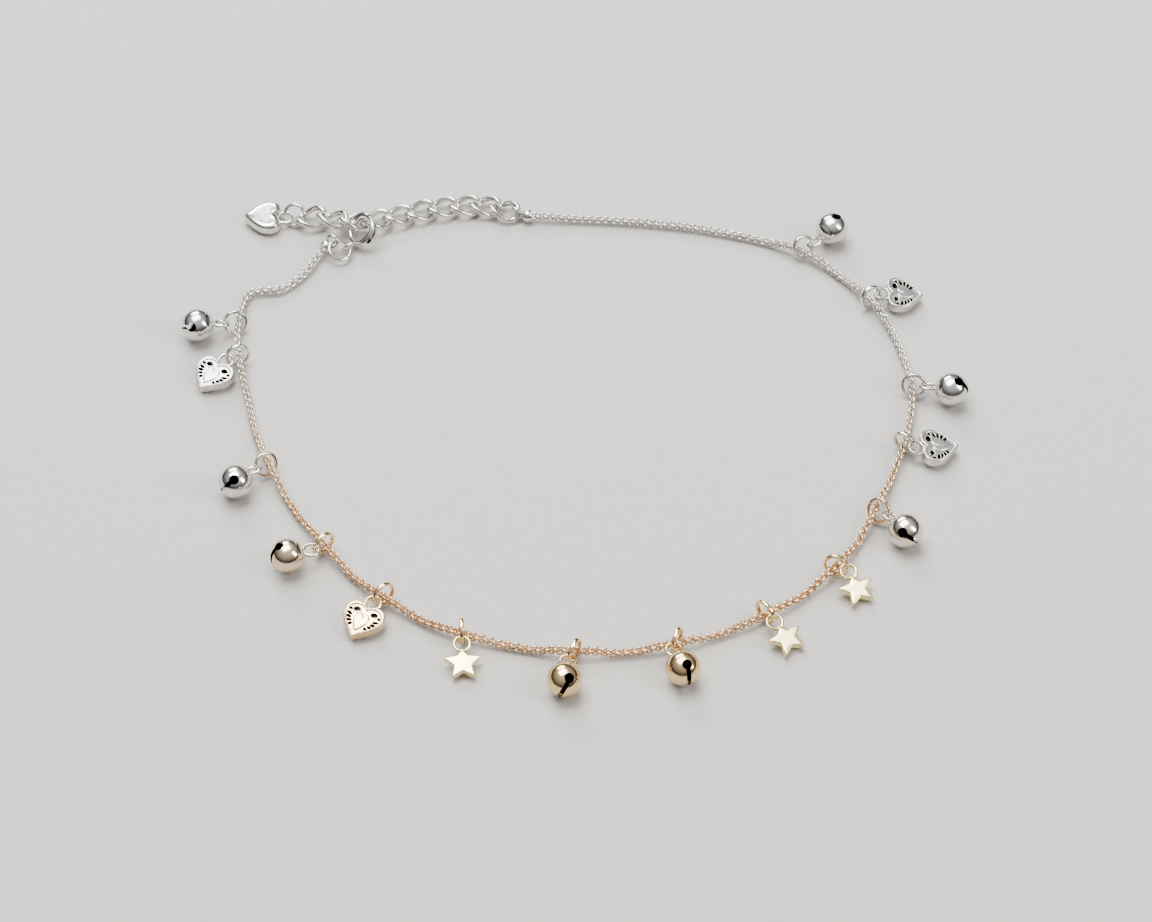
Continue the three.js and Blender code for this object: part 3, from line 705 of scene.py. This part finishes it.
holes = []
for hand in (1, -1):
    for x, y, long, wide in lobe_holes:
        holes.append(hole_knots(hand * x, y, long, wide))
    for place in slot_places:
        x, y = lower_edge(place, hand)
        holes.append(hole_knots(slot_in * x, slot_in * y - 0.02, slot_long * math.hypot(x, y),
                                slot_across, math.degrees(math.atan2(y, x))))
plate_line = heart_knots(heart_wide - plate_inset, heart_tall - plate_inset, heart_notch - 0.2)
heart = stamped_plate("heart_plate", [plate_line, *holes], plate_thick, plate_edge, 1, 7)
heart_plating = plated_metal("heart_plating", Gold_Below=-0.030, Silver_Above=-0.008,
                             Low_Roughness=0.22, High_Roughness=0.36, Tarnish=0.22)
# The walls of the piercings and every steep face of the plate are painted near black: painted
# shade in the recesses.
heart_recess_painted_shade = plated_metal("heart_recess_painted_shade", Gold_Color=(0.070, 0.050, 0.032, 1.0),
                            Blush_Color=(0.060, 0.048, 0.036, 1.0),
                            Silver_Color=(0.045, 0.044, 0.042, 1.0),
                            Low_Roughness=0.4, High_Roughness=0.7)
heart.data.materials.append(heart_plating)
heart.data.materials.append(heart_recess_painted_shade)
# Faces that do not look up or down take the near-black painted shade.
for face in heart.data.polygons:
    face.material_index = int(abs(face.normal.z) < 0.8)
rim_lines = [heart_knots(heart_wide, heart_tall, heart_notch),
             heart_knots(heart_wide - rim_wide, heart_tall - rim_tall, heart_notch - 0.42)]
rim = stamped_plate("heart_rim", rim_lines, heart_thick, rim_edge, 3, 7)
boss = stamped_plate("heart_boss", [heart_knots(boss_wide, boss_tall, boss_notch)],
                     boss_thick, boss_edge, 4, 8)
boss.data.transform(Matrix.Translation((0, -0.25, 0.35)))
bead_spots = []
for hand in (1, -1):
    for bead in range(row_beads):
        x, y = lower_edge(row_start + row_step * bead, hand)
        bead_spots.append((row_bead, (row_in * x, row_in * y + 0.02, row_height)))
for angle in np.radians(np.arange(0, 360, 60)):
    bead_spots.append((rosette_bead, (rosette_at[0] + rosette_size[0] * math.cos(angle),
                                      rosette_at[1] + rosette_size[1] * math.sin(angle),
                                      rosette_at[2])))
beads = []
for bead_radius, bead_spot in bead_spots:
    clear_bench()
    bpy.ops.mesh.primitive_ico_sphere_add(subdivisions=2, radius=bead_radius, location=bead_spot)
    beads.append(bpy.context.object)
take_up(heart)
for part in (rim, boss, *beads):
    part.data.materials.append(heart_plating)
    part.select_set(True)
bpy.ops.object.join()
bpy.ops.object.shade_smooth_by_angle(angle=math.radians(42))
even_shade = heart.modifiers.new("even_shade", "WEIGHTED_NORMAL")
even_shade.keep_sharp = True
bpy.ops.object.modifier_apply(modifier="even_shade")


def flat_charm(number, charm, reach, tip, thick):
    """Places of a flat charm and of its eye, which lie flat on the surface at the tip."""
    eye, center, away, side, normal = hung_from(number, reach, tip, thick / 2)
    body = set_down(center, (-away).cross(normal), -away, normal)
    foot = set_down(eye + away * eye_radius, side, normal, -away)
    return [(charm, body), (eye_ring, foot)]


for number, (kind, *rest) in enumerate(charms, 1):
    if kind == "heart":
        place_copy(flat_charm(number, heart, heart_reach, heart_tall / 2, heart_thick),
                   f"pierced_heart_{number}", f"heart_{number}", heart_plating)
put_away(heart)


# Stars: stamped from plated sheet and tumbled until the face is a little pillowed and
# the points are soft. The upper point runs into the soldered eye.
star_tip = 2.2
star_valley = 1.1
star_neck = 1.6
star_thick = 0.9
star_edge = 0.2
tip_round, tip_spread = 0.04, 2.6
valley_round, valley_spread = 1.16, 9
star_reach = star_neck + eye_radius
star_fall = star_tip * math.cos(math.radians(36))


def from_middle(radius, degrees):
    """Point of a star's outline at a distance and a turn from its middle."""
    return radius * math.cos(math.radians(degrees)), radius * math.sin(math.radians(degrees))


def tumble(piece, grain, passes):
    """Evens out a piece's mesh and rounds it, as a tumbling barrel does."""
    take_up(piece)
    even = piece.modifiers.new("even", "REMESH")
    even.mode = "VOXEL"
    even.voxel_size = grain
    bpy.ops.object.modifier_apply(modifier="even")
    worn = piece.modifiers.new("worn", "SMOOTH")
    worn.factor = 0.5
    worn.iterations = passes
    bpy.ops.object.modifier_apply(modifier="worn")


def span(piece, axis):
    """A piece's lowest and highest place along one axis."""
    places = [v.co[axis] for v in piece.data.vertices]
    return min(places), max(places)


def back_to_size(piece, size):
    """Gives a piece back the little of its size that tumbling took."""
    for axis, (low, high) in enumerate(size):
        least, most = span(piece, axis)
        for v in piece.data.vertices:
            v.co[axis] = low + (v.co[axis] - least) * (high - low) / (most - least)


star_knots = []
for corner in range(10):
    turn = 90 + 36 * corner
    if corner % 2 == 0:
        radius = star_neck if corner == 0 else star_tip
        round_off, spread = radius - tip_round, tip_spread
    else:
        radius = star_valley
        round_off, spread = radius * valley_round, valley_spread
    star_knots.append((from_middle(radius, turn), from_middle(round_off, turn - spread),
                       from_middle(round_off, turn + spread)))
star = stamped_plate("star_plate", [star_knots], star_thick, star_edge, 4, 5)
star_size = [span(star, axis) for axis in range(3)]
tumble(star, grain=0.06, passes=26)
back_to_size(star, star_size)
bpy.ops.object.shade_smooth()
star_plating = plated_metal("star_plating", Gold_Color=(0.93, 0.80, 0.48, 1.0),
                            Blush_Color=(0.90, 0.78, 0.52, 1.0), Low_Roughness=0.24,
                            High_Roughness=0.34, Tarnish=0.04)
for number, (kind, *rest) in enumerate(charms, 1):
    if kind == "star":
        place_copy(flat_charm(number, star, star_reach, star_fall, star_thick),
                   f"flat_star_{number}", f"star_{number}", star_plating)
put_away(star)


# The extender: ten curb links of round wire, each bent to a full oval and twisted so
# that the row lies flat, running from the chain's end to the tail.
link_opening = 3.0
link_opening_wide = 1.9
link_wire = 0.7
link_joints = [
    (-34.6, 39.0, 0.86), (-31.85, 38.83, 1.41), (-29.22, 37.9, 1.67), (-26.37, 37.91, 1.21),
    (-23.76, 38.95, 1.01), (-21.0, 39.8, 0.86), (-18.22, 40.56, 0.93), (-15.42, 41.03, 0.9),
    (-12.71, 41.28, 0.89), (-10.17, 40.93, 0.91), (-7.83, 40.02, 0.87)]
link_rolls = [6, -16, -14, -5, -6, 2, 0, 0, 0, -1]
link_twist = 45
half_long = (link_opening + link_wire) / 2
half_wide = (link_opening_wide + link_wire) / 2
link_squareness = 2.3
turns = np.radians(np.arange(40) * 9.0)


def fuller(value):
    """Presses a sine or cosine outwards, so that an oval fills more of its corners."""
    return np.sign(value) * np.abs(value) ** (2 / link_squareness)


bent_wire = bpy.data.curves.new("curb_link", "CURVE")
bent_wire.dimensions = "3D"
bent_wire.bevel_depth = link_wire / 2
bent_wire.bevel_resolution = 3
loop = bent_wire.splines.new("POLY")
loop.points.add(len(turns) - 1)
loop.use_cyclic_u = True
for point, turn in zip(loop.points, turns):
    x, y = half_long * fuller(np.cos(turn)), half_wide * fuller(np.sin(turn))
    twist = math.radians(link_twist) * x / half_long
    point.co = (x, y * math.cos(twist), y * math.sin(twist), 1.0)
curb_link = from_drawing("curb_link", bent_wire)
bpy.ops.object.shade_smooth()
link_plating = plated_metal("link_plating", Low_Roughness=0.16, High_Roughness=0.30, Tarnish=0.12)
for number, (start, end, roll) in enumerate(zip(link_joints, link_joints[1:], link_rolls), 1):
    start, end = Vector(start), Vector(end)
    along = (end - start).normalized()
    flat = Vector((0, 0, 1)).cross(along).normalized()
    across = flat * math.cos(math.radians(roll)) + along.cross(flat) * math.sin(math.radians(roll))
    place_copy([(curb_link, set_down((start + end) / 2, along, across, along.cross(across)))],
               f"extender_link_{number}", f"curb_link_{number}", link_plating)
put_away(curb_link)


# The ends of the chain: each is gathered in a small polished cup with a beaded mouth,
# and a loop of round wire is soldered to the cup.
loop_radius = 0.75
cup_mouth = 0.65
cup_floor = 0.45
cup_from_end, drop_share = 0.55, 0.62
lip_radius, lip_wire = 0.69, 0.14
from_mouth = np.radians(np.linspace(-35.5, 90, 16))
cup_line = [(0.0, 0.0, -cup_floor), (cup_mouth - 0.03, 0.0, -cup_floor),
            (cup_mouth, 0.0, -cup_floor - 0.03)]
cup_line += [(cup_radius * math.cos(t), 0.0, cup_radius * math.sin(t)) for t in from_mouth]
end_cup = turned_shell("end_cup", cup_line, 36, 0.001)
bpy.ops.object.shade_smooth_by_angle(angle=math.radians(40))
clear_bench()
bpy.ops.mesh.primitive_torus_add(major_radius=lip_radius, minor_radius=lip_wire / 2,
                                 major_segments=36, minor_segments=8,
                                 location=(0, 0, 0.01 - cup_floor))
lip = bpy.context.object
bpy.ops.object.transform_apply(location=True, rotation=True, scale=True)
bpy.ops.object.shade_smooth()
take_up(end_cup)
lip.select_set(True)
bpy.ops.object.join()
clear_bench()
bpy.ops.mesh.primitive_torus_add(major_radius=loop_radius, minor_radius=eye_wire / 2,
                                 major_segments=36, minor_segments=10)
small_loop = bpy.context.object
bpy.ops.object.shade_smooth()
clear_bench()
bpy.ops.mesh.primitive_uv_sphere_add(segments=16, ring_count=8, radius=solder_radius)
solder_drop = bpy.context.object
bpy.ops.object.shade_smooth()
cup_plating = plated_metal("cup_plating", Low_Roughness=0.10, High_Roughness=0.22, Tarnish=0.08)


def facing(origin, normal):
    """Place whose Z looks along a normal."""
    front = Vector(normal).normalized()
    side = Vector((0, 0, 1)).cross(front).cross(front).normalized()
    return set_down(Vector(origin), side, front.cross(side), front)


for node, share, loop_spot, loop_normal in (
        ("end_cap_clasp", 0.0, (-30.33, 34.22, 1.71), (0.448, 0.795, -0.409)),
        ("end_cap_extender", 1.0, (-7.32, 40.13, 1.07), (0.461, 0.733, 0.5))):
    end = route_at(share)
    inner = route_at(nudge if share == 0.0 else 1 - nudge)
    outward = Vector((*(end - inner), 0)).normalized()
    center = Vector((*end, cup_radius + bench_gap)) + outward * cup_from_end
    level = Vector((0, 0, 1)).cross(outward)
    solder_at = center.lerp(Vector(loop_spot), drop_share)
    place_copy([(end_cup, set_down(center, level, outward.cross(level), outward)),
                (small_loop, facing(loop_spot, loop_normal)),
                (solder_drop, Matrix.Translation(solder_at) @ Matrix.Scale(0.85, 4))],
               node.replace("end_cap", "cup"), node, cup_plating)
put_away(end_cup)


# The tail: a small ring and a plain puffed heart, cast solid with a flat back and its
# face tumbled smooth, its eye soldered in the notch.
def wire_ring(name, middle, wire):
    """A jump ring of round wire, closed but not soldered."""
    clear_bench()
    bpy.ops.mesh.primitive_circle_add(vertices=14, radius=wire / 2, fill_type="NOTHING",
                                      location=(middle, 0, 0), rotation=(math.radians(90), 0, 0))
    ring = bpy.context.object
    ring.name = name
    bpy.ops.object.transform_apply(location=True, rotation=True, scale=True)
    bpy.ops.object.mode_set(mode="EDIT")
    bpy.ops.mesh.select_all(action="SELECT")
    bpy.ops.mesh.spin(steps=56, angle=math.radians(357), center=(0, 0, 0), axis=(0, 0, 1))
    bpy.ops.mesh.select_all(action="SELECT")
    bpy.ops.mesh.fill_holes(sides=20)
    bpy.ops.object.mode_set(mode="OBJECT")
    face_outwards(ring)
    bpy.ops.object.shade_smooth_by_angle(angle=math.radians(40))
    return ring


wire_plating = plated_metal("wire_plating", Low_Roughness=0.13, High_Roughness=0.28, Tarnish=0.12)
ring = wire_ring("tail_jump", 1.3, 0.42)
place_copy([(ring, facing((-35.34, 39.28, 1.22), (-0.272, -0.719, 0.64)))],
           "tail_jump_ring", "tail_ring", wire_plating)
put_away(ring)

puffed_wide, puffed_tall, puffed_thick, puffed_edge = 4.8, 4.6, 1.6, 0.5
flat_back = -0.68
puffed = stamped_plate("puffed_heart", [heart_knots(puffed_wide, puffed_tall, heart_notch)],
                       puffed_thick, puffed_edge, 5, 10)
tumble(puffed, grain=0.1, passes=60)
bpy.ops.object.mode_set(mode="EDIT")
bpy.ops.mesh.select_all(action="SELECT")
bpy.ops.mesh.bisect(plane_co=(0, 0, flat_back), plane_no=(0, 0, 1), clear_inner=True,
                    use_fill=True)
bpy.ops.object.mode_set(mode="OBJECT")
back_to_size(puffed, [(-size / 2, size / 2) for size in (puffed_wide, puffed_tall, puffed_thick)])
bpy.ops.object.shade_smooth_by_angle(angle=math.radians(50))
tail_eye = Vector((-36.6, 39.2, 0.8))
toward = Vector((1, 0, 0))
upward = Vector((0, 0, 1))
sideways = toward.cross(upward)
tail_plating = plated_metal("tail_plating", Low_Roughness=0.13, High_Roughness=0.24, Tarnish=0.08)
place_copy([(puffed, set_down(tail_eye - toward * heart_reach, sideways, toward, upward)),
            (eye_ring, set_down(tail_eye - toward * eye_radius, -sideways, upward, toward))],
           "puffed_tail_heart", "tail_heart", tail_plating)
put_away(puffed, eye_ring)


# The clasp: a spring ring bent from silver tube, with a short sliding bolt that a spring
# inside holds across the gap. A knob on the bolt stands out through a slot in the tube,
# and the eye is soldered to the tube's side and held by a ring of round wire.
clasp_middle = 1.8
clasp_tube = 1.0
clasp_wall = 0.17
bore_from, bore_to = -42, 114
bolt_thick = 0.42
bolt_from, bolt_to = 10, 110
gap_from, gap_to = 60, 105
bolt_slide = 48
knob_turn = 46
knob_way_half = 8.6
knob_radius, knob_long = 0.17, 0.85
clasp_tilt = math.radians(46)
clasp_faces = heading(-152) * math.cos(clasp_tilt) + Vector((0, 0, math.sin(clasp_tilt)))
clasp_level = heading(-62)
clasp_spot = set_down(Vector((-26.76, 36.24, 1.77)), clasp_level,
                      clasp_faces.cross(clasp_level), clasp_faces)


def bent_bar(name, outline, start, stop, steps):
    """Bar bent about Z from one angle to another, its outline standing in XZ, ends closed."""
    take_up(outline)
    outline.name = name
    bpy.ops.object.transform_apply(location=True, rotation=True, scale=True)
    outline.data.transform(Matrix.Rotation(math.radians(start), 4, "Z"))
    turn_about_z(outline, start - stop, steps, 0.0)
    return outline


def round_outline(thick, sides):
    """Section of a round tube or bar, at the clasp's middle line."""
    clear_bench()
    bpy.ops.mesh.primitive_circle_add(vertices=sides, radius=thick / 2, fill_type="NGON",
                                      location=(clasp_middle, 0, 0),
                                      rotation=(math.radians(90), 0, 0))
    return bpy.context.object


tube = bent_bar("clasp_tube", round_outline(clasp_tube, 24), gap_to, 360 + gap_from, 56)
bore = bent_bar("bore", round_outline(clasp_tube - 2 * clasp_wall, 20), bore_from, bore_to, 30)
clear_bench()
bpy.ops.mesh.primitive_plane_add(size=1.0, location=(clasp_middle + 0.4, 0, 0),
                                 rotation=(math.radians(90), 0, 0))
knob_way = bpy.context.object
knob_way.scale = (0.8, 0.54, 1.0)
knob_way = bent_bar("knob_way", knob_way, knob_turn - bolt_slide - knob_way_half,
                    knob_turn + knob_way_half, 16)
cut_away(tube, bore, knob_way)
soften_edges(tube, 0.03, 2, 50)

# The eye of the clasp: its place round the tube, its lean off the tube's plane, its turn.
around, out_turn, eye_turn = math.radians(297.4), math.radians(54.4), math.radians(-46)
radial = Vector((math.cos(around), math.sin(around), 0))
tangent = Vector((-math.sin(around), math.cos(around), 0))
outward = radial * math.cos(out_turn) + Vector((0, 0, math.sin(out_turn)))
eye_front = tangent * math.cos(eye_turn) + outward.cross(tangent) * math.sin(eye_turn)
eye_middle = radial * clasp_middle + outward * (clasp_tube / 2 + loop_radius)
eye_foot = radial * clasp_middle + outward * (clasp_tube / 2)
eye_place = set_down(eye_middle, outward.cross(eye_front), outward, eye_front)
place_copy([(tube, clasp_spot), (small_loop, clasp_spot @ eye_place),
            (solder_drop, clasp_spot @ Matrix.Translation(eye_foot) @ Matrix.Scale(0.95, 4))],
           "spring_ring", "clasp_body", wire_plating)
put_away(tube, small_loop, solder_drop)

bolt = bent_bar("bolt", round_outline(bolt_thick, 16), bolt_from, bolt_to, 28)
soften_edges(bolt, 0.09, 3, 60)
clear_bench()
bpy.ops.mesh.primitive_cylinder_add(vertices=20, radius=knob_radius, depth=knob_long,
                                    location=(clasp_middle + knob_long / 2, 0, 0),
                                    rotation=(0, math.radians(90), 0))
knob = bpy.context.object
bpy.ops.object.transform_apply(location=True, rotation=True, scale=True)
soften_edges(knob, 0.06, 3, 60)
knob_spot = clasp_spot @ Matrix.Rotation(math.radians(knob_turn), 4, "Z")
place_copy([(bolt, clasp_spot), (knob, knob_spot)],
           "sliding_bolt", "clasp_bolt", wire_plating)
put_away(bolt, knob)

ring = wire_ring("clasp_jump", 1.35, 0.5)
place_copy([(ring, facing((-29.4, 33.32, 1.12), (0.315, -0.248, 0.916)))],
           "round_jump_ring", "clasp_jump_ring", wire_plating)
put_away(ring)


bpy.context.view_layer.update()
